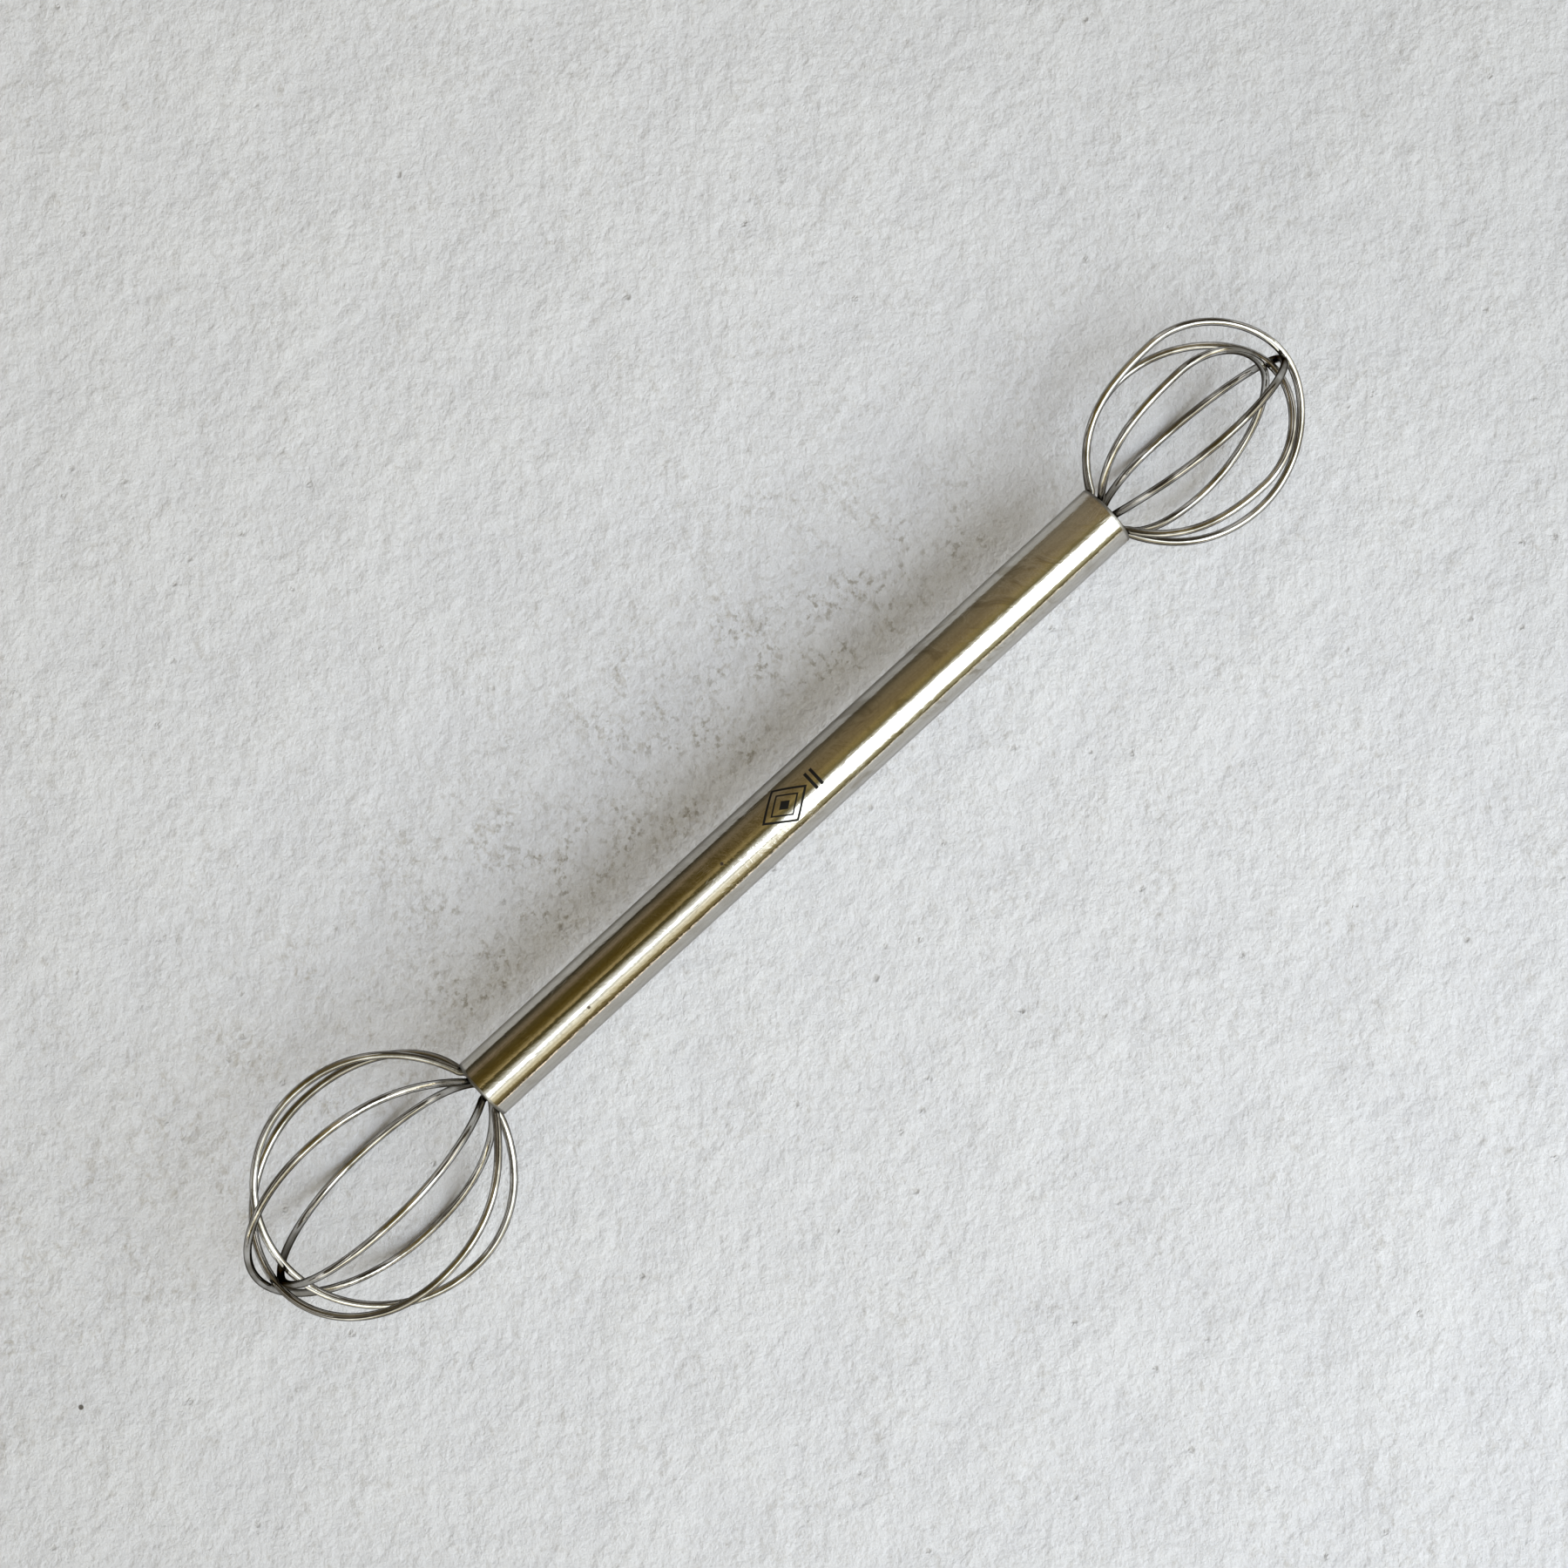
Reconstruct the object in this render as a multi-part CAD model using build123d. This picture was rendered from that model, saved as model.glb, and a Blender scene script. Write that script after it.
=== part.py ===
"""Double-ended balloon whisk, all stainless steel, in millimetres.

Frame: the handle tube lies along X with its middle at the origin, +Z is up.
The large balloon is at the -X end, the small balloon at the +X end.
Each balloon is four continuous wire loops; both legs of a loop run into the
handle tube, where a fluted plug holds them against the bore.
"""
import os
from math import cos, radians, sin

from build123d import *

# ---- handle tube -------------------------------------------------------------
TUBE_LENGTH = 126.0
TUBE_DIAMETER = 10.0
TUBE_WALL = 0.6
LIP_ROUNDING = 0.28          # both edges of each rim are rounded over

# ---- wire --------------------------------------------------------------------
WIRE_DIAMETER = 1.2
LEG_GAP = 0.02               # leg to bore, and leg to plug flute
LEG_DEPTH = 12.0             # how far each leg runs into the tube
BEND_RADIUS = 1.0            # leg turning outward over the rim, on its centre line
BEND_START = 0.3             # the bend begins this far inside the mouth

# ---- plug and seal that close each mouth ---------------------------------------
PLUG_LENGTH = 9.6
PLUG_RECESS = 2.2            # mouth to outer face of the plug
PLUG_BLIND_HOLE = 3.0        # diameter of the lightening hole from the inside
SEAL_THICKNESS = 1.2
SEAL_RECESS = 0.9            # mouth to outer face of the seal
RUNNING_GAP = 0.02

# ---- balloons ------------------------------------------------------------------
# Shape shared by the four loops of one balloon.
#   flare/waist  how long the wire keeps the line it leaves the mouth on, and how
#                long it runs level before the widest place (fractions of that length)
#   nose/cheek   fullness of the rounded tip, along and across the axis
LARGE_SHAPE = dict(flare=0.33, waist=0.58, nose=0.54, cheek=0.56)
SMALL_SHAPE = dict(flare=0.46, waist=0.41, nose=0.55, cheek=0.47)

# Loops: turn about the axis (0 = toward -Y, 90 = up), reach of the tip from the
# mouth, and for each side (station of the widest place, its radius, angle to the
# axis at which the wire leaves the mouth). The loops are set by hand, so no two are
# alike. The tips are stacked a little more than one wire diameter apart, so the
# wires cross freely.
LARGE_LOOPS = {
    "large_wire_1": dict(
        turn=-10.5, reach=38.7, near=(19.0, 19.1, 74), far=(19.9, 18.5, 71), lean=0.3),
    "large_wire_2": dict(
        turn=73.6, reach=40.0, near=(19.9, 18.1, 69), far=(23.1, 18.4, 64), lean=0.3),
    "large_wire_3": dict(
        turn=25.0, reach=41.3, near=(22.1, 17.8, 59), far=(21.5, 18.7, 80), lean=-0.2),
    "large_wire_4": dict(
        turn=124.0, reach=42.6, near=(21.6, 19.1, 64), far=(23.3, 19.2, 64), lean=0.1),
}
SMALL_LOOPS = {
    "small_wire_1": dict(
        turn=126.6, reach=32.0, near=(19.6, 13.8, 65), far=(14.8, 12.8, 70), lean=0.2),
    "small_wire_2": dict(
        turn=23.7, reach=33.3, near=(18.9, 13.6, 61), far=(16.6, 14.9, 60), lean=-0.1),
    "small_wire_3": dict(
        turn=78.8, reach=34.6, near=(19.0, 16.4, 53), far=(14.5, 14.6, 66), lean=0.6),
    "small_wire_4": dict(
        turn=-8.4, reach=35.9, near=(18.1, 15.0, 61), far=(21.6, 14.4, 65), lean=-0.3),
}

TUBE_RADIUS = TUBE_DIAMETER / 2
BORE_RADIUS = TUBE_RADIUS - TUBE_WALL
WIRE_RADIUS = WIRE_DIAMETER / 2
LEG_RADIUS = BORE_RADIUS - WIRE_RADIUS - LEG_GAP   # leg centre line to tube axis

os.makedirs("parts", exist_ok=True)


def side_of_loop(shape, station, radius, exit_angle, reach, lean, side):
    """Edges of one half of a loop, from the leg's inner end to the tip.

    Local X runs outward from the mouth, local Y across the balloon;
    side is +1 or -1 for the two halves.
    """
    def at(x, y):
        return Vector(x, side * y, 0)

    angle = radians(exit_angle)
    along, across = cos(angle), sin(angle)
    pivot = LEG_RADIUS + BEND_RADIUS

    leg_end = at(-LEG_DEPTH, LEG_RADIUS)
    bend_in = at(-BEND_START, LEG_RADIUS)
    bend_mid = at(
        -BEND_START + BEND_RADIUS * sin(angle / 2), pivot - BEND_RADIUS * cos(angle / 2)
    )
    out_x = -BEND_START + BEND_RADIUS * across
    out_y = pivot - BEND_RADIUS * along
    run = station - out_x
    flare = shape["flare"] * run
    tip_y = side * lean

    leg = Line(leg_end, bend_in)
    bend = ThreePointArc(bend_in, bend_mid, at(out_x, out_y))
    shoulder = Bezier(
        at(out_x, out_y),
        at(out_x + flare * along, out_y + flare * across),
        at(station - shape["waist"] * run, radius),
        at(station, radius),
    )
    nose = Bezier(
        at(station, radius),
        at(station + shape["nose"] * (reach - station), radius),
        at(reach, tip_y + shape["cheek"] * (radius - tip_y)),
        at(reach, tip_y),
    )
    return [leg, bend, shoulder, nose]


def wire_loop(shape, turn, reach, near, far, lean):
    """One continuous loop of round wire, mouth of the tube at the origin, opening +X."""
    near_half = side_of_loop(shape, *near, reach, lean, +1)
    far_half = side_of_loop(shape, *far, reach, lean, -1)
    path = Wire(near_half + far_half)
    start = Plane(origin=path @ 0, z_dir=path % 0)
    loop = sweep(start * Circle(WIRE_RADIUS), path=path)
    # local +Y turns to -Y at 0 degrees and to +Z at 90 degrees
    return Rot(X=180 - turn) * loop


def leg_angles(loops):
    """Turn of every leg about the axis, both sides of every loop."""
    turns = [loop["turn"] for loop in loops.values()]
    return turns + [turn + 180 for turn in turns]


def leg_position(turn, x):
    """Centre of a leg, mouth of the tube at the origin, opening +X."""
    return (x, -LEG_RADIUS * cos(radians(turn)), LEG_RADIUS * sin(radians(turn)))


def leg_grooves(loops, radius):
    """Round rods on the leg centre lines, used as cutters."""
    rods = Part()
    for turn in leg_angles(loops):
        rods += Pos(*leg_position(turn, -TUBE_DIAMETER)) * Rot(Y=90) * Cylinder(
            radius, 3 * TUBE_DIAMETER
        )
    return rods


def mouth_plug(loops):
    """Fluted plug: one flute per wire leg, blind hole from the inner end."""
    radius = BORE_RADIUS - RUNNING_GAP
    back = -PLUG_RECESS - PLUG_LENGTH
    plug = Pos(-PLUG_RECESS - PLUG_LENGTH / 2, 0, 0) * Rot(Y=90) * Cylinder(radius, PLUG_LENGTH)
    plug -= leg_grooves(loops, WIRE_RADIUS + LEG_GAP)
    hole_depth = 0.7 * PLUG_LENGTH
    hole = Pos(back + hole_depth / 2, 0, 0) * Rot(Y=90) * Cylinder(PLUG_BLIND_HOLE / 2, hole_depth)
    return plug - hole


def mouth_seal(loops):
    """Thin disc behind the rim with a hole for every leg."""
    radius = BORE_RADIUS - RUNNING_GAP
    disc = Pos(-SEAL_RECESS - SEAL_THICKNESS / 2, 0, 0) * Rot(Y=90) * Cylinder(
        radius, SEAL_THICKNESS
    )
    return disc - leg_grooves(loops, WIRE_RADIUS + LEG_GAP)


def handle_tube():
    """Plain drawn tube, open at both ends, rims rounded over."""
    tube = Rot(Y=90) * (
        Cylinder(TUBE_RADIUS, TUBE_LENGTH) - Cylinder(BORE_RADIUS, TUBE_LENGTH + 2)
    )
    rims = tube.edges().filter_by(GeomType.CIRCLE)
    return fillet(rims, LIP_ROUNDING)


def small_end(shape):
    return Pos(TUBE_LENGTH / 2, 0, 0) * shape


def large_end(shape):
    """Mirrored so that turn angles are seen the same way at both ends."""
    return Pos(-TUBE_LENGTH / 2, 0, 0) * mirror(shape, about=Plane.YZ)


pieces = {"handle_tube": handle_tube()}
for name, loop in LARGE_LOOPS.items():
    pieces[name] = large_end(wire_loop(LARGE_SHAPE, **loop))
for name, loop in SMALL_LOOPS.items():
    pieces[name] = small_end(wire_loop(SMALL_SHAPE, **loop))
pieces["large_plug"] = large_end(mouth_plug(LARGE_LOOPS))
pieces["small_plug"] = small_end(mouth_plug(SMALL_LOOPS))
pieces["large_seal"] = large_end(mouth_seal(LARGE_LOOPS))
pieces["small_seal"] = small_end(mouth_seal(SMALL_LOOPS))

for name, shape in pieces.items():
    export_step(shape, f"parts/{name}.step")
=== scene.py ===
"""Looks of the double-ended balloon whisk: steel, plaster floor, window light, camera.

Everything is in metres, in the CAD frame: the handle lies along X with the large
balloon toward -X, and +Z is up. In the camera's view +X points to the upper right
and +Y to the upper left.
"""
from math import cos, degrees, radians, sin

import bpy
import numpy as np
from mathutils import Matrix, Vector


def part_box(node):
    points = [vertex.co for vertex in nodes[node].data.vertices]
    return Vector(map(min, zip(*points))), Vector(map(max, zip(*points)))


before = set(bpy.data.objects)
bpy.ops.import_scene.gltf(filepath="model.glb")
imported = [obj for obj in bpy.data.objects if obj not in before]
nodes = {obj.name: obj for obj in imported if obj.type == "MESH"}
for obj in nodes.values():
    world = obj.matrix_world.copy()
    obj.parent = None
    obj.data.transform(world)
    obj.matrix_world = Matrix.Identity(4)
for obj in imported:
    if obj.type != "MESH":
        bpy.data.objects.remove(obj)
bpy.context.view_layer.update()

MM = 0.001
LARGE_WIRES = [f"large_wire_{i}" for i in (1, 2, 3, 4)]
SMALL_WIRES = [f"small_wire_{i}" for i in (1, 2, 3, 4)]
PLUGS = ["large_plug", "small_plug"]
SEALS = ["large_seal", "small_seal"]

_, tube_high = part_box("handle_tube")
TUBE_HALF = tube_high.x
TUBE_RADIUS = tube_high.z


def rgb(red, green, blue):
    return (red, green, blue, 1.0)


# ---- node helpers --------------------------------------------------------------
class Graph:
    """Builds a material's or the world's node tree. Values are numbers or sockets."""

    def __init__(self, tree):
        self.tree = tree
        tree.nodes.clear()

    def add(self, kind, inputs=None, **settings):
        node = self.tree.nodes.new(kind)
        for key, value in settings.items():
            setattr(node, key, value)
        for key, value in (inputs or {}).items():
            self.put(node.inputs[key], value)
        return node

    def put(self, socket, value):
        if isinstance(value, bpy.types.NodeSocket):
            self.tree.links.new(value, socket)
        else:
            socket.default_value = value

    def math(self, operation, a, b=0.0):
        node = self.add("ShaderNodeMath", operation=operation)
        self.put(node.inputs[0], a)
        self.put(node.inputs[1], b)
        return node.outputs[0]

    def times(self, first, *rest):
        for value in rest:
            first = self.math("MULTIPLY", first, value)
        return first

    def plus(self, first, *rest):
        for value in rest:
            first = self.math("ADD", first, value)
        return first

    def minus(self, a, b):
        return self.math("SUBTRACT", a, b)

    def larger(self, a, b):
        return self.math("MAXIMUM", a, b)

    def absolute(self, a):
        return self.math("ABSOLUTE", a)

    def span(self, value, low, high, out_low=0.0, out_high=1.0, smooth=True):
        """Value mapped from low..high to out_low..out_high, clamped."""
        node = self.add("ShaderNodeMapRange")
        node.interpolation_type = "SMOOTHSTEP" if smooth else "LINEAR"
        for socket, number in zip(node.inputs[:5], (value, low, high, out_low, out_high)):
            self.put(socket, number)
        return node.outputs[0]

    def even(self, noise, out_low=0.0, out_high=1.0):
        """Noise spread over out_low..out_high; nearly all of it lies in 0.3..0.7."""
        return self.span(noise, 0.3, 0.7, out_low, out_high)

    def between(self, value, rise, fall):
        """1 between two soft ends: over `rise` it comes up, over `fall` it goes down."""
        return self.times(self.span(value, *rise), self.span(value, *fall))

    def noise(self, where, scale, detail=3.0, roughness=0.5, distortion=0.0):
        node = self.add("ShaderNodeTexNoise", inputs={
            "Vector": where, "Scale": scale, "Detail": detail,
            "Roughness": roughness, "Distortion": distortion,
        })
        return node.outputs[0]

    def coordinates(self):
        return self.add("ShaderNodeTexCoord").outputs["Object"]

    def split(self, vector):
        return self.add("ShaderNodeSeparateXYZ", inputs={0: vector}).outputs

    def place(self, x, y, z=0.0):
        return self.add("ShaderNodeCombineXYZ", inputs={0: x, 1: y, 2: z}).outputs[0]

    def stretch(self, where, first, second, turn=0.0):
        """Coordinates turned about their third axis, then scaled along the other two."""
        if turn:
            where = self.add("ShaderNodeMapping", inputs={
                "Vector": where, "Rotation": (0.0, 0.0, turn)}).outputs[0]
        return self.add("ShaderNodeMapping", inputs={
            "Vector": where, "Scale": (first, second, 1.0)}).outputs[0]

    def hairlines(self, where, turn, density, length=28):
        """Sparse hairline scratches, running at an angle to the first axis; `length`
        is how many times longer than wide they are."""
        skin = self.stretch(where, density / length, density, turn)
        lines = self.noise(skin, scale=1.0, detail=1.0, roughness=0.3)
        gate = self.noise(where, scale=140.0, detail=2.0)
        thin = self.span(self.absolute(self.minus(lines, 0.5)), 0.0, 0.012, 1.0, 0.0)
        return self.times(thin, self.span(gate, 0.56, 0.66))

    def specks(self, where, density, size, share=0.04, soft=0.4):
        """Round specks in a share of the cells; size is a fraction of their spacing,
        soft the fraction of a speck that is its blurred edge."""
        cells = self.add("ShaderNodeTexVoronoi", inputs={"Vector": where, "Scale": density})
        spot = self.span(cells.outputs["Distance"], size * (1.0 - soft), size, 1.0, 0.0)
        pick = self.add("ShaderNodeSeparateColor", inputs={0: cells.outputs["Color"]})
        return self.times(spot, self.span(pick.outputs[0], 0.995 - share, 1.0 - share))

    def mix(self, amount, a, b):
        node = self.add("ShaderNodeMix", data_type="RGBA")
        for index, value in ((0, amount), (6, a), (7, b)):   # factor, color A, color B
            self.put(node.inputs[index], value)
        return node.outputs[2]

    def coats(self, color, *layers):
        """Layers of (amount, color) laid over a colour, in order."""
        for amount, layer in layers:
            color = self.mix(amount, color, layer)
        return color

    def bump(self, height, depth, strength=1.0, below=None):
        node = self.add("ShaderNodeBump", inputs={
            "Strength": strength, "Distance": depth, "Height": height})
        if below is not None:
            self.put(node.inputs["Normal"], below)
        return node.outputs[0]

    def surface(self, color, roughness, normal, metallic=0.0, anisotropic=0.0,
                edge_tint=None, specular=0.5):
        """Principled shader; the constants are set on its own sockets."""
        shader = self.add("ShaderNodeBsdfPrincipled")
        shader.inputs["Metallic"].default_value = metallic
        shader.inputs["Anisotropic"].default_value = anisotropic
        shader.inputs["Specular IOR Level"].default_value = specular
        if edge_tint is not None:
            shader.inputs["Specular Tint"].default_value = edge_tint
        self.put(shader.inputs["Base Color"], color)
        self.put(shader.inputs["Roughness"], roughness)
        self.put(shader.inputs["Normal"], normal)
        return shader.outputs[0]

    def finish(self, shader):
        self.add("ShaderNodeOutputMaterial", inputs={0: shader})


def new_material(name):
    material = bpy.data.materials.new(name)
    material.use_nodes = True
    return material, Graph(material.node_tree)


# ---- printed mark --------------------------------------------------------------
MARK_MIDDLE = (-1.8 * MM, radians(8.0) * TUBE_RADIUS)   # along the tube, round it
MARK_SIZE = 3.0 * MM          # middle to the diamond's corner round the tube
MARK_LINE = 0.21 * MM         # half width of a printed line
MARK_EDGE = 0.03 * MM         # half width of the ink's soft edge
MARK_SLIMNESS = 0.72          # the diamond is 1 / 0.72 times as long as it is wide
INNER_DIAMOND = 0.62          # sizes below are fractions of MARK_SIZE
CORE_DIAMOND = 0.26
BAR_STARTS = (1.75, 2.10)
BAR_HALF_LENGTH = 0.50
INK = rgb(0.010, 0.009, 0.008)


def printed_mark(graph, along, around):
    """Ink mask of a plain generic mark: a diamond in a diamond and two bars."""
    u = graph.minus(along, MARK_MIDDLE[0])
    v = graph.minus(around, MARK_MIDDLE[1])
    reach = graph.plus(graph.times(graph.absolute(u), MARK_SLIMNESS), graph.absolute(v))

    def inside(value, limit):
        return graph.span(value, limit - MARK_EDGE, limit + MARK_EDGE, 1.0, 0.0)

    def ring(size, half_line):
        return inside(graph.absolute(graph.minus(reach, size)), half_line)

    outline = ring(MARK_SIZE, MARK_LINE)
    inner = ring(INNER_DIAMOND * MARK_SIZE, 0.7 * MARK_LINE)
    core = graph.larger(inner, inside(reach, CORE_DIAMOND * MARK_SIZE))
    bars = []
    for start in BAR_STARTS:
        offset = graph.absolute(graph.minus(u, start * MARK_SIZE))
        length = inside(graph.absolute(v), BAR_HALF_LENGTH * MARK_SIZE)
        bars.append(graph.times(inside(offset, 1.2 * MARK_LINE), length))
    ink = graph.larger(graph.larger(outline, core), graph.larger(*bars))
    worn = graph.noise(graph.place(along, around), scale=5200.0, detail=2.0, roughness=0.6)
    return graph.times(ink, graph.span(worn, 0.24, 0.32))


# ---- tube: drawn and polished --------------------------------------------------
# The painted sheen, the painted shade and the rim tone are fitted to the photograph,
# not measured; the sheen and the shade are painted reflections of the room.
STEEL_EDGE = rgb(0.56, 0.55, 0.54)        # tint of the tube and plugs seen edge on
TUBE_DEEP = rgb(0.52, 0.50, 0.455)
TUBE_PALE = rgb(0.61, 0.59, 0.55)
TUBE_LINES = rgb(0.44, 0.42, 0.37)        # drawing lines
TUBE_GRAIN = rgb(0.36, 0.34, 0.29)
TUBE_SMEAR = rgb(0.33, 0.30, 0.24)        # finger marks
TUBE_PAINTED_SHEEN = rgb(0.88, 0.87, 0.85)       # painted reflection, low on the side toward -Y
TUBE_PAINTED_SHADE = rgb(0.20, 0.185, 0.16)        # painted shade along the middle of the side toward +Y
TUBE_TARNISH = rgb(0.30, 0.24, 0.16)      # close to the small balloon's mouth
TUBE_RIM = rgb(0.21, 0.203, 0.188)
TUBE_SCRATCH = rgb(0.70, 0.68, 0.64)
TUBE_SPECK = rgb(0.10, 0.08, 0.06)


def tube_steel():
    material, graph = new_material("tube_steel")
    along, y, z = graph.split(graph.coordinates())
    # distance round the tube from its top line, positive toward +Y
    around = graph.times(graph.math("ARCTAN2", y, z), TUBE_RADIUS)
    skin = graph.place(along, around)

    fine = graph.noise(graph.stretch(skin, 60.0, 2600.0), scale=1.0, detail=4.0, roughness=0.7)
    grain = graph.noise(skin, scale=2400.0, detail=2.0, roughness=0.6)
    bands = graph.noise(graph.stretch(skin, 9.0, 900.0), scale=1.0, roughness=0.55)
    waves = graph.noise(graph.stretch(skin, 28.0, 110.0), scale=1.0, detail=2.0)
    cloud = graph.noise(
        graph.stretch(skin, 150.0, 260.0, turn=0.5),
        scale=1.0, detail=4.0, roughness=0.6, distortion=1.4,
    )
    handled = graph.between(along, (-12 * MM, 20 * MM), (62 * MM, 40 * MM))
    smear = graph.times(graph.span(cloud, 0.50, 0.66), graph.span(handled, 0.0, 1.0, 0.35, 1.0))
    scratch = graph.larger(
        graph.hairlines(skin, turn=0.11, density=1500.0),
        graph.hairlines(skin, turn=-0.32, density=1300.0),
    )
    speck = graph.specks(skin, density=420.0, size=0.14)

    mouth = graph.minus(TUBE_HALF, graph.absolute(along))
    rim = graph.span(mouth, 0.38 * MM, 0.65 * MM, 1.0, 0.0)
    tarnish = graph.times(graph.span(along, 59.5 * MM, 62.8 * MM), graph.span(cloud, 0.3, 0.6))
    dull = graph.times(tarnish, graph.span(grain, 0.2, 0.6))
    # painted reflection: a lighter band low on the side toward -Y, stronger toward the small
    # balloon
    painted_sheen = graph.times(
        graph.span(around, -4.7 * MM, -6.1 * MM),
        graph.span(along, -20 * MM, 15 * MM, 0.22, 0.5),
    )
    # painted shade: a darker, mottled band along the middle of the side toward +Y
    painted_shade = graph.times(
        graph.between(along, (-50 * MM, -5 * MM), (42 * MM, 20 * MM)),
        graph.span(cloud, 0.3, 0.6, 0.26, 0.50),
        graph.span(around, 3.2 * MM, 4.4 * MM),
    )

    color = graph.coats(
        graph.mix(graph.even(bands), TUBE_DEEP, TUBE_PALE),
        (graph.even(fine, 0.0, 0.5), TUBE_LINES),
        (graph.span(grain, 0.45, 0.7, 0.0, 0.30), TUBE_GRAIN),
        (graph.times(smear, 0.8), TUBE_SMEAR),
        (painted_sheen, TUBE_PAINTED_SHEEN),
        (painted_shade, TUBE_PAINTED_SHADE),
        (graph.times(dull, 0.75), TUBE_TARNISH),
        (graph.times(rim, 0.85), TUBE_RIM),
        (graph.times(scratch, 0.5), TUBE_SCRATCH),
        (speck, TUBE_SPECK),
    )
    rough = graph.plus(
        graph.even(fine, 0.025, 0.055),
        graph.even(bands, 0.0, 0.02),
        graph.times(smear, 0.07),
        graph.times(dull, 0.12),
        graph.times(rim, 0.32),
        graph.times(scratch, 0.12),
        graph.times(speck, 0.4),
    )
    normal = graph.bump(waves, depth=0.03 * MM)
    normal = graph.bump(cloud, depth=0.04 * MM, below=normal)
    normal = graph.bump(bands, depth=0.012 * MM, below=normal)
    normal = graph.bump(fine, depth=0.008 * MM, below=normal)
    normal = graph.bump(grain, depth=0.004 * MM, below=normal)
    normal = graph.bump(scratch, depth=0.006 * MM, strength=0.4, below=normal)
    steel = graph.surface(
        color, rough, normal, metallic=1.0, anisotropic=0.35, edge_tint=STEEL_EDGE)
    paint = graph.surface(INK, graph.even(fine, 0.45, 0.6), normal, specular=0.1)
    blend = graph.add("ShaderNodeMixShader", inputs={
        0: printed_mark(graph, along, around), 1: steel, 2: paint})
    graph.finish(blend.outputs[0])
    return material


# ---- wires, plugs, seals -------------------------------------------------------
WIRE_EDGE = rgb(0.20, 0.19, 0.18)
WIRE_DEEP = rgb(0.46, 0.45, 0.425)
WIRE_PALE = rgb(0.64, 0.632, 0.612)
WIRE_FILM = rgb(0.19, 0.172, 0.138)       # duller patches, as if a film from drawing
WIRE_PAINTED_SHADE = rgb(0.07, 0.063, 0.052)      # painted shade on the wires' sides, fitted to the photograph like the tube's
WIRE_MOUTH = rgb(0.12, 0.105, 0.08)
WIRE_SPECK = rgb(0.12, 0.10, 0.07)
WIRE_MOUTH_REACH = 3.5 * MM


def wire_steel():
    material, graph = new_material("wire_steel")
    where = graph.coordinates()
    x, _, _ = graph.split(where)
    grain = graph.noise(where, scale=2600.0, roughness=0.6)
    ripple = graph.noise(where, scale=420.0, detail=2.0)
    patch = graph.noise(where, scale=95.0, roughness=0.55, distortion=0.6)
    film = graph.span(patch, 0.45, 0.62)
    speck = graph.times(graph.span(grain, 0.69, 0.74), graph.span(patch, 0.45, 0.6))
    # darker where each wire leaves the mouth
    mouth = graph.span(graph.absolute(x), TUBE_HALF, TUBE_HALF + WIRE_MOUTH_REACH, 1.0, 0.0)
    # Painted shade: the sides of each wire are darker than its top, by the direction the
    # surface faces in the part's own frame; it stands for a dark room's reflection.
    _, _, upward = graph.split(graph.add("ShaderNodeNewGeometry").outputs["Normal"])
    painted_flank_shade = graph.span(graph.absolute(upward), 0.66, 0.30)
    color = graph.coats(
        graph.mix(graph.even(ripple), WIRE_DEEP, WIRE_PALE),
        (graph.times(film, 0.75), WIRE_FILM),
        (graph.times(painted_flank_shade, 0.86), WIRE_PAINTED_SHADE),
        (graph.times(mouth, 0.75), WIRE_MOUTH),
        (graph.times(speck, 0.8), WIRE_SPECK),
    )
    rough = graph.plus(
        graph.even(grain, 0.03, 0.06), graph.times(film, 0.05), graph.times(mouth, 0.12))
    normal = graph.bump(ripple, depth=0.04 * MM, strength=0.8)
    normal = graph.bump(grain, depth=0.006 * MM, strength=0.4, below=normal)
    graph.finish(graph.surface(color, rough, normal, metallic=1.0, edge_tint=WIRE_EDGE))
    return material


PLUG_DEEP = rgb(0.40, 0.385, 0.35)
PLUG_PALE = rgb(0.52, 0.505, 0.47)
PLUG_GRAIN = rgb(0.22, 0.20, 0.17)


def plug_steel():
    material, graph = new_material("plug_steel")
    where = graph.coordinates()
    _, y, z = graph.split(where)
    radius = graph.math("SQRT", graph.plus(graph.times(y, y), graph.times(z, z)))
    grain = graph.noise(where, scale=1500.0, roughness=0.6)
    # rings left by the lathe, a little uneven
    rings = graph.place(radius, graph.times(grain, 0.02 * MM))
    turned = graph.noise(rings, scale=6000.0, detail=2.0)
    color = graph.coats(
        graph.mix(graph.even(turned), PLUG_DEEP, PLUG_PALE),
        (graph.span(grain, 0.55, 0.75, 0.0, 0.6), PLUG_GRAIN),
    )
    rough = graph.even(turned, 0.28, 0.42)
    normal = graph.bump(turned, depth=0.01 * MM, strength=0.6)
    normal = graph.bump(grain, depth=0.01 * MM, strength=0.3, below=normal)
    graph.finish(graph.surface(
        color, rough, normal, metallic=1.0, anisotropic=0.2, edge_tint=STEEL_EDGE))
    return material


SEAL_DEEP = rgb(0.10, 0.092, 0.080)
SEAL_PALE = rgb(0.17, 0.158, 0.138)
SEAL_DUST = rgb(0.42, 0.40, 0.36)


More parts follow.
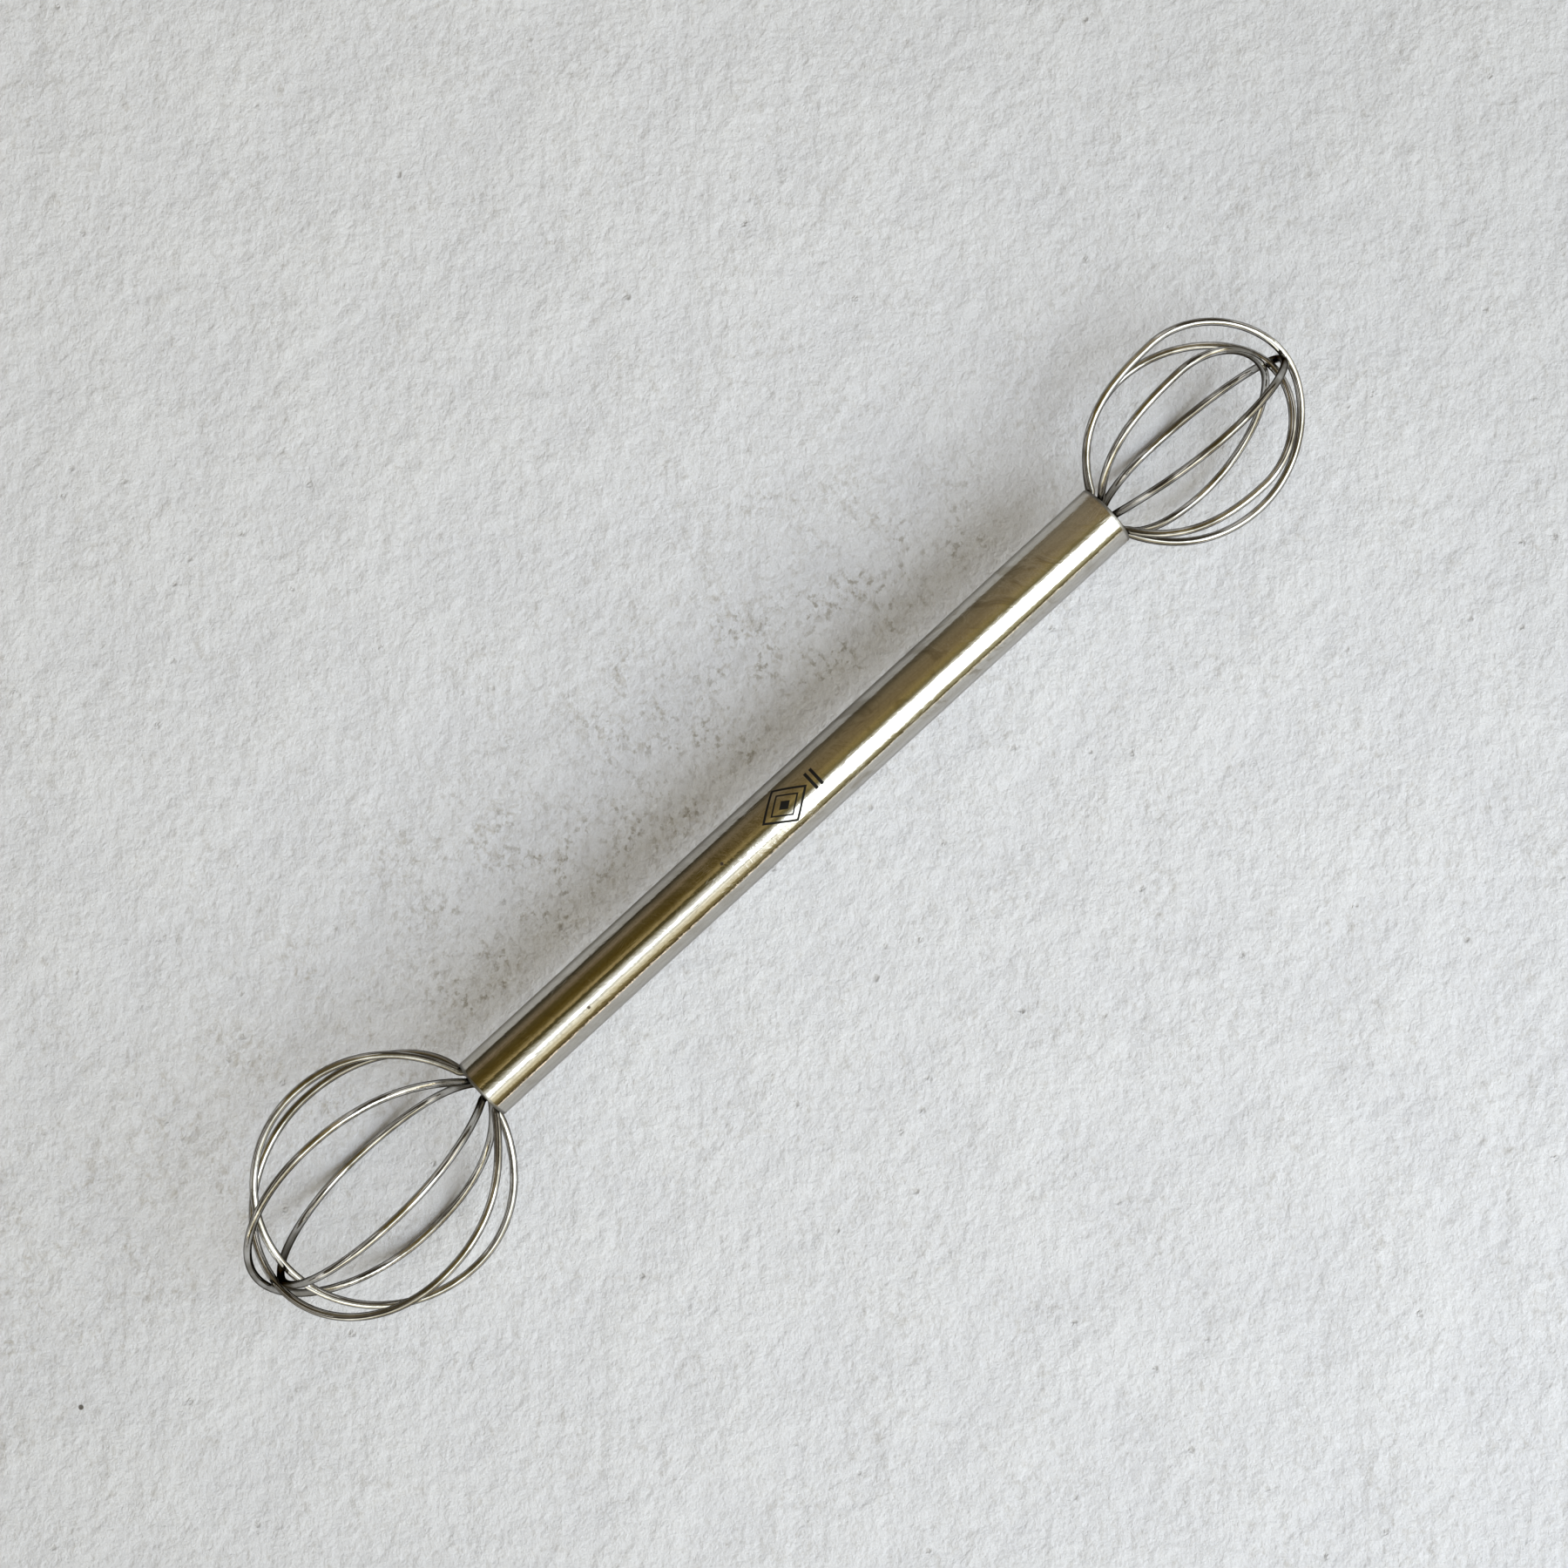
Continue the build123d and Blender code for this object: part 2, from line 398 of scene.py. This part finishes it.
def seal_resin():
    material, graph = new_material("seal")
    where = graph.coordinates()
    grain = graph.noise(where, scale=2200.0, detail=4.0, roughness=0.6)
    sag = graph.noise(where, scale=420.0, detail=2.0)
    dust = graph.span(graph.noise(where, scale=3800.0, detail=2.0), 0.62, 0.70)
    color = graph.coats(
        graph.mix(graph.even(sag), SEAL_DEEP, SEAL_PALE),
        (graph.times(dust, 0.6), SEAL_DUST),
    )
    rough = graph.plus(graph.even(grain, 0.38, 0.58), graph.times(dust, 0.2))
    normal = graph.bump(sag, depth=0.12 * MM, strength=0.7)
    normal = graph.bump(grain, depth=0.02 * MM, strength=0.5, below=normal)
    graph.finish(graph.surface(color, rough, normal))
    return material


def dress(names, material):
    for name in names:
        mesh = nodes[name].data
        mesh.materials.clear()
        mesh.materials.append(material)


dress(["handle_tube"], tube_steel())
dress(LARGE_WIRES + SMALL_WIRES, wire_steel())
dress(PLUGS, plug_steel())
dress(SEALS, seal_resin())

# ---- floor ---------------------------------------------------------------------
HANDLE_IN_VIEW = radians(42.58)   # handle's rise above the picture's horizontal
TROWEL_TURN = -HANDLE_IN_VIEW - 0.08      # strokes run nearly upright in the picture
FLOOR_SIZE = 6.0
PLANE_ROUNDS = 8                          # enough for the resting points to settle
PLASTER_DEEP = rgb(0.715, 0.725, 0.78)
PLASTER_PALE = rgb(0.75, 0.76, 0.81)
PLASTER_PITS = rgb(0.46, 0.435, 0.405)
BROWN_MOTTLE = rgb(0.42, 0.385, 0.335)
BROWN_HOLES = rgb(0.34, 0.317, 0.285)
PLASTER_PRICKS = rgb(0.36, 0.34, 0.31)
PLASTER_GRIT = rgb(0.55, 0.55, 0.555)
# painted shade of the light's falloff across the floor
PLASTER_PAINTED_FALLOFF = rgb(0.38, 0.38, 0.385)
PLASTER_SPECKS = rgb(0.13, 0.12, 0.11)


def points_of(names):
    parts = []
    for name in names:
        vertices = nodes[name].data.vertices
        flat = np.empty(len(vertices) * 3, np.float32)
        vertices.foreach_get("co", flat)
        parts.append(flat.reshape(-1, 3))
    return np.vstack(parts).astype(float)


def resting_plane():
    """Plane z = a + b x + c y that carries the whisk: two strands of the large
    balloon and one of the small balloon touch it. Returns a and (b, c)."""
    large = points_of(LARGE_WIRES)
    small = points_of(SMALL_WIRES)
    feet = (large[large[:, 1] < 0], large[large[:, 1] > 0], small)
    slope = np.zeros(2)
    for _ in range(PLANE_ROUNDS):
        contacts = np.array([
            points[np.argmin(points[:, 2] - points[:, :2] @ slope)] for points in feet
        ])
        system = np.column_stack([np.ones(3), contacts[:, :2]])
        height, *slope = np.linalg.solve(system, contacts[:, 2])
        slope = np.array(slope)
    return height, slope


def plaster():
    material, graph = new_material("plaster_floor")
    where = graph.coordinates()
    x, y, _ = graph.split(where)
    trowelled = graph.stretch(where, 0.90, 1.0, turn=TROWEL_TURN)
    swell = graph.noise(trowelled, scale=70.0)
    lumps = graph.noise(trowelled, scale=360.0, detail=4.0, roughness=0.62)
    grit = graph.noise(where, scale=1500.0, roughness=0.6)

    clusters = graph.span(graph.noise(where, scale=80.0, detail=2.0), 0.44, 0.62)
    pits = graph.noise(trowelled, scale=560.0, detail=4.0, roughness=0.65)
    pits = graph.times(graph.span(pits, 0.50, 0.72), graph.span(clusters, 0.0, 1.0, 0.35, 1.0))
    ragged = graph.noise(where, scale=900.0, detail=2.0, roughness=0.6)
    pricks = graph.times(
        graph.specks(where, density=230.0, size=0.18, share=0.14, soft=0.7),
        graph.span(ragged, 0.35, 0.6),
    )

    # brown mottling and small darker holes on the floor beside the handle, toward +Y
    brown_zone = graph.times(
        graph.between(y, (2 * MM, 12 * MM), (52 * MM, 26 * MM)),
        graph.span(x, 70 * MM, 25 * MM),
    )
    blotches = graph.noise(where, scale=120.0, roughness=0.6, distortion=0.8)
    blotches = graph.span(blotches, 0.40, 0.66, 0.25, 1.0)
    mottle = graph.noise(trowelled, scale=620.0, detail=4.0, roughness=0.68, distortion=0.6)
    mottle = graph.times(
        graph.span(mottle, 0.46, 0.70),
        graph.times(blotches, graph.span(brown_zone, 0.0, 1.0, 0.14, 0.60)),
    )
    beside = graph.between(y, (6 * MM, 11 * MM), (27 * MM, 14 * MM))
    beside = graph.times(
        graph.plus(graph.times(beside, 0.7), 0.55), brown_zone, graph.span(x, -74 * MM, -50 * MM))
    holes = graph.noise(trowelled, scale=820.0, detail=4.0, roughness=0.62)
    holes = graph.times(
        graph.span(holes, 0.51, 0.65),
        graph.times(blotches, graph.span(beside, 0.0, 1.0, 0.22, 0.95)),
    )

    # painted shade: the floor darkens toward both ends of the whisk and toward the upper left,
    # where less light falls
    painted_falloff = graph.plus(
        graph.span(x, 50 * MM, 160 * MM, 0.0, 0.22),
        graph.span(x, -70 * MM, -160 * MM, 0.0, 0.12),
        graph.span(y, 20 * MM, 120 * MM, 0.0, 0.06),
    )
    color = graph.coats(
        graph.mix(graph.even(swell), PLASTER_DEEP, PLASTER_PALE),
        (graph.times(pits, 0.42), PLASTER_PITS),
        (mottle, BROWN_MOTTLE),
        (holes, BROWN_HOLES),
        (graph.times(pricks, 0.35), PLASTER_PRICKS),
        (graph.times(grit, 0.10), PLASTER_GRIT),
        (painted_falloff, PLASTER_PAINTED_FALLOFF),
        (graph.specks(where, density=42.0, size=0.022), PLASTER_SPECKS),
    )
    height = graph.minus(graph.plus(lumps, graph.times(grit, 0.20)), graph.times(pricks, 0.30))
    height = graph.plus(height, graph.times(swell, 1.6))
    normal = graph.bump(height, depth=0.8 * MM, strength=0.85)
    rough = graph.even(lumps, 0.95, 0.8)
    graph.finish(graph.surface(color, rough, normal, specular=0.2))
    return material


def make_floor():
    height, slope = resting_plane()
    upright = Vector((0, 0, 1))
    normal = Vector((-slope[0], -slope[1], 1.0)).normalized()
    tilt = upright.rotation_difference(normal).to_matrix().to_4x4()
    half = FLOOR_SIZE / 2
    corners = [(-half, -half, 0), (half, -half, 0), (half, half, 0), (-half, half, 0)]
    mesh = bpy.data.meshes.new("floor")
    mesh.from_pydata(corners, [], [(0, 1, 2, 3)])
    mesh.materials.append(plaster())
    floor = bpy.data.objects.new("floor", mesh)
    bpy.context.scene.collection.objects.link(floor)
    floor.matrix_world = Matrix.Translation((0, 0, height)) @ tilt
    print("floor height mm", height / MM, "slope deg", [round(degrees(s), 2) for s in slope])


make_floor()

# ---- window --------------------------------------------------------------------
WINDOW_COLOR = (0.82, 0.91, 1.0)
# Panes: middle in degrees (toward +X, from straight up toward -Y), distance and size
# in metres, radiance. The lower pane stands nearer.
PANES = {
    "upper_left_pane": dict(
        middle=(-11.5, 30.0), distance=1.3, size=(0.576, 0.27), radiance=1.5),
    "upper_right_pane": dict(
        middle=(18.5, 26.5), distance=1.3, size=(0.82, 0.46), radiance=3.15),
    "lower_pane": dict(
        middle=(19.5, 48.0), distance=0.55, size=(0.368, 0.240), radiance=2.1),
}
POWER_PER_RADIANCE = 4.0      # watts per square metre of an area light


def make_pane(name, middle, distance, size, radiance):
    across, down = (radians(angle) for angle in middle)
    toward = Vector((sin(across), -cos(across) * sin(down), cos(across) * cos(down)))
    sideways = Vector((cos(across), sin(across) * sin(down), -sin(across) * cos(down)))
    light = bpy.data.lights.new(name, "AREA")
    light.shape = "RECTANGLE"
    light.size, light.size_y = size
    light.energy = POWER_PER_RADIANCE * radiance * size[0] * size[1]
    light.color = WINDOW_COLOR
    pane = bpy.data.objects.new(name, light)
    bpy.context.scene.collection.objects.link(pane)
    turn = Matrix((sideways, toward.cross(sideways), toward)).transposed().to_4x4()
    pane.matrix_world = Matrix.Translation(toward * distance) @ turn


for pane_name, settings in PANES.items():
    make_pane(pane_name, **settings)

# ---- room ----------------------------------------------------------------------
# Brightness of the room round the whisk, by the angle from straight up toward -Y
# (degrees) and then colour: on the side of the large balloon, on the side of the
# small balloon, and on the pale wall round the window.
ROOM_LARGE_SIDE = [
    (-100, (0.07, 0.06, 0.04)), (-85, (0.075, 0.065, 0.04)), (-76, (0.19, 0.155, 0.10)),
    (-66, (0.26, 0.21, 0.14)), (-58, (0.24, 0.18, 0.10)), (-52, (0.12, 0.09, 0.03)),
    (-30, (0.12, 0.08, 0.015)), (-20, (0.18, 0.13, 0.035)), (-10, (0.50, 0.39, 0.18)),
    (-6, (0.44, 0.34, 0.15)), (-4, (0.08, 0.06, 0.015)), (4, (0.12, 0.105, 0.045)),
    (11, (0.26, 0.22, 0.12)), (60, (0.30, 0.24, 0.12)), (72, (0.28, 0.215, 0.09)),
    (77, (0.13, 0.10, 0.045)), (81.8, (0.06, 0.045, 0.02)), (83.0, (3.5, 3.0, 2.4)),
    (90, (3.5, 3.0, 2.4)),
]
ROOM_SMALL_SIDE = [
    (-100, (0.17, 0.15, 0.11)), (-85, (0.15, 0.125, 0.08)), (-66, (0.23, 0.185, 0.11)),
    (-57, (0.27, 0.215, 0.125)), (-48, (0.26, 0.20, 0.11)), (-30, (0.27, 0.205, 0.10)),
    (-20, (0.33, 0.25, 0.115)), (-9, (0.38, 0.29, 0.11)), (-3, (0.34, 0.27, 0.11)),
    (4, (0.27, 0.23, 0.11)), (9, (0.60, 0.57, 0.42)), (14, (1.15, 1.15, 1.05)),
    (57, (1.45, 1.42, 1.25)), (62, (0.95, 0.90, 0.66)), (67, (0.60, 0.56, 0.36)),
    (73, (0.40, 0.36, 0.19)), (77, (0.20, 0.165, 0.08)), (82.0, (0.08, 0.065, 0.035)),
    (83.1, (2.9, 2.7, 2.25)), (90, (2.9, 2.7, 2.25)),
]
WALL = [
    (-100, (0.2, 0.15, 0.07)), (4, (0.2, 0.15, 0.07)), (9, (0.38, 0.35, 0.24)),
    (15, (0.76, 0.76, 0.66)), (21, (1.28, 1.29, 1.25)), (36, (1.25, 1.26, 1.18)),
    (40, (1.05, 1.05, 0.95)), (44, (1.85, 1.82, 1.6)), (47, (1.65, 1.6, 1.35)),
    (52, (1.1, 1.04, 0.80)), (60, (1.15, 1.04, 0.72)), (64, (0.42, 0.34, 0.16)),
    (72, (0.30, 0.235, 0.10)),
]
# The room beyond either end of the whisk: dark, with a few pale patches of wall;
# there the wall on the window's side is this much brighter.
ROOM_ENDS = rgb(0.10, 0.085, 0.065)
ROOM_ENDS_PALE = rgb(1.0, 0.98, 0.94)
WALL_ENDS = 1.4
ENDS_BEGIN = (0.24, 0.36)         # sine of the angle toward either end
# A little more of the room is lit toward the small balloon.
ROOM_GLOW = rgb(0.52, 0.46, 0.36)
BACKDROP = rgb(0.62, 0.63, 0.63)  # what the camera sees past the floor
ROOM_SPAN = (-100.0, 90.0)        # degrees that the ramps cover


def room_ramp(graph, turn, stops):
    node = graph.add("ShaderNodeValToRGB", inputs={0: turn})
    low, high = ROOM_SPAN
    elements = node.color_ramp.elements
    while len(elements) > 1:
        elements.remove(elements[-1])
    elements[0].position = 0.0
    elements[0].color = rgb(*stops[0][1])
    for angle, color in stops[1:]:
        elements.new((angle - low) / (high - low)).color = rgb(*color)
    return node.outputs[0]


def make_world():
    world = bpy.data.worlds.new("room")
    bpy.context.scene.world = world
    world.use_nodes = True
    graph = Graph(world.node_tree)
    toward = graph.add("ShaderNodeTexCoord").outputs["Generated"]
    x, y, z = graph.split(toward)
    angle = graph.math("ARCTAN2", graph.times(y, -1.0), z)
    low, high = ROOM_SPAN
    turn = graph.span(angle, radians(low), radians(high), smooth=False)
    room = graph.mix(
        graph.span(x, -0.04, 0.06),
        room_ramp(graph, turn, ROOM_LARGE_SIDE),
        room_ramp(graph, turn, ROOM_SMALL_SIDE),
    )
    glow = graph.times(
        graph.span(x, 0.10, 0.18, 0.0, 0.35), graph.span(angle, radians(2), radians(-8)))
    room = graph.mix(glow, room, ROOM_GLOW)

    far = graph.span(graph.absolute(x), *ENDS_BEGIN)
    pale = graph.noise(toward, scale=2.2, detail=1.0, roughness=0.4)
    ends = graph.mix(graph.span(pale, 0.53, 0.58), ROOM_ENDS, ROOM_ENDS_PALE)
    room = graph.mix(far, room, ends)

    beside = graph.plus(graph.span(x, 0.04, 0.01), graph.span(x, 0.36, 0.44))
    level = graph.between(angle, (radians(4), radians(7)), (radians(72), radians(66)))
    gain = graph.span(graph.absolute(x), *ENDS_BEGIN, 1.0, WALL_ENDS)
    wall = graph.add("ShaderNodeVectorMath", operation="SCALE")
    graph.put(wall.inputs[0], room_ramp(graph, turn, WALL))
    graph.put(wall.inputs["Scale"], gain)
    room = graph.mix(graph.times(beside, level), room, wall.outputs[0])

    seen = graph.add("ShaderNodeLightPath").outputs["Is Camera Ray"]
    background = graph.add("ShaderNodeBackground", inputs={
        "Color": graph.mix(seen, room, BACKDROP)})
    graph.add("ShaderNodeOutputWorld", inputs={0: background.outputs[0]})


make_world()

# ---- camera --------------------------------------------------------------------
CAMERA_DISTANCE = 0.4009
CAMERA_LEAN = radians(1.72)       # from straight above, toward the large balloon
AIM = Vector((0.39, 3.01, 0.0)) * MM
FOCAL_LENGTH = 62.06
SENSOR = 36.0
CLIP = (0.01, 20.0)


def make_camera():
    data = bpy.data.cameras.new("camera")
    data.lens = FOCAL_LENGTH
    data.sensor_width = SENSOR
    data.clip_start, data.clip_end = CLIP
    camera = bpy.data.objects.new("camera", data)
    bpy.context.scene.collection.objects.link(camera)
    back = Vector((-sin(CAMERA_LEAN), 0, cos(CAMERA_LEAN)))
    along = Vector((cos(CAMERA_LEAN), 0, sin(CAMERA_LEAN)))
    across = Vector((0, 1, 0))
    right = cos(HANDLE_IN_VIEW) * along - sin(HANDLE_IN_VIEW) * across
    up = sin(HANDLE_IN_VIEW) * along + cos(HANDLE_IN_VIEW) * across
    turn = Matrix((right, up, back)).transposed().to_4x4()
    camera.matrix_world = Matrix.Translation(AIM + back * CAMERA_DISTANCE) @ turn
    bpy.context.scene.camera = camera


make_camera()
bpy.context.scene.view_settings.view_transform = "Standard"
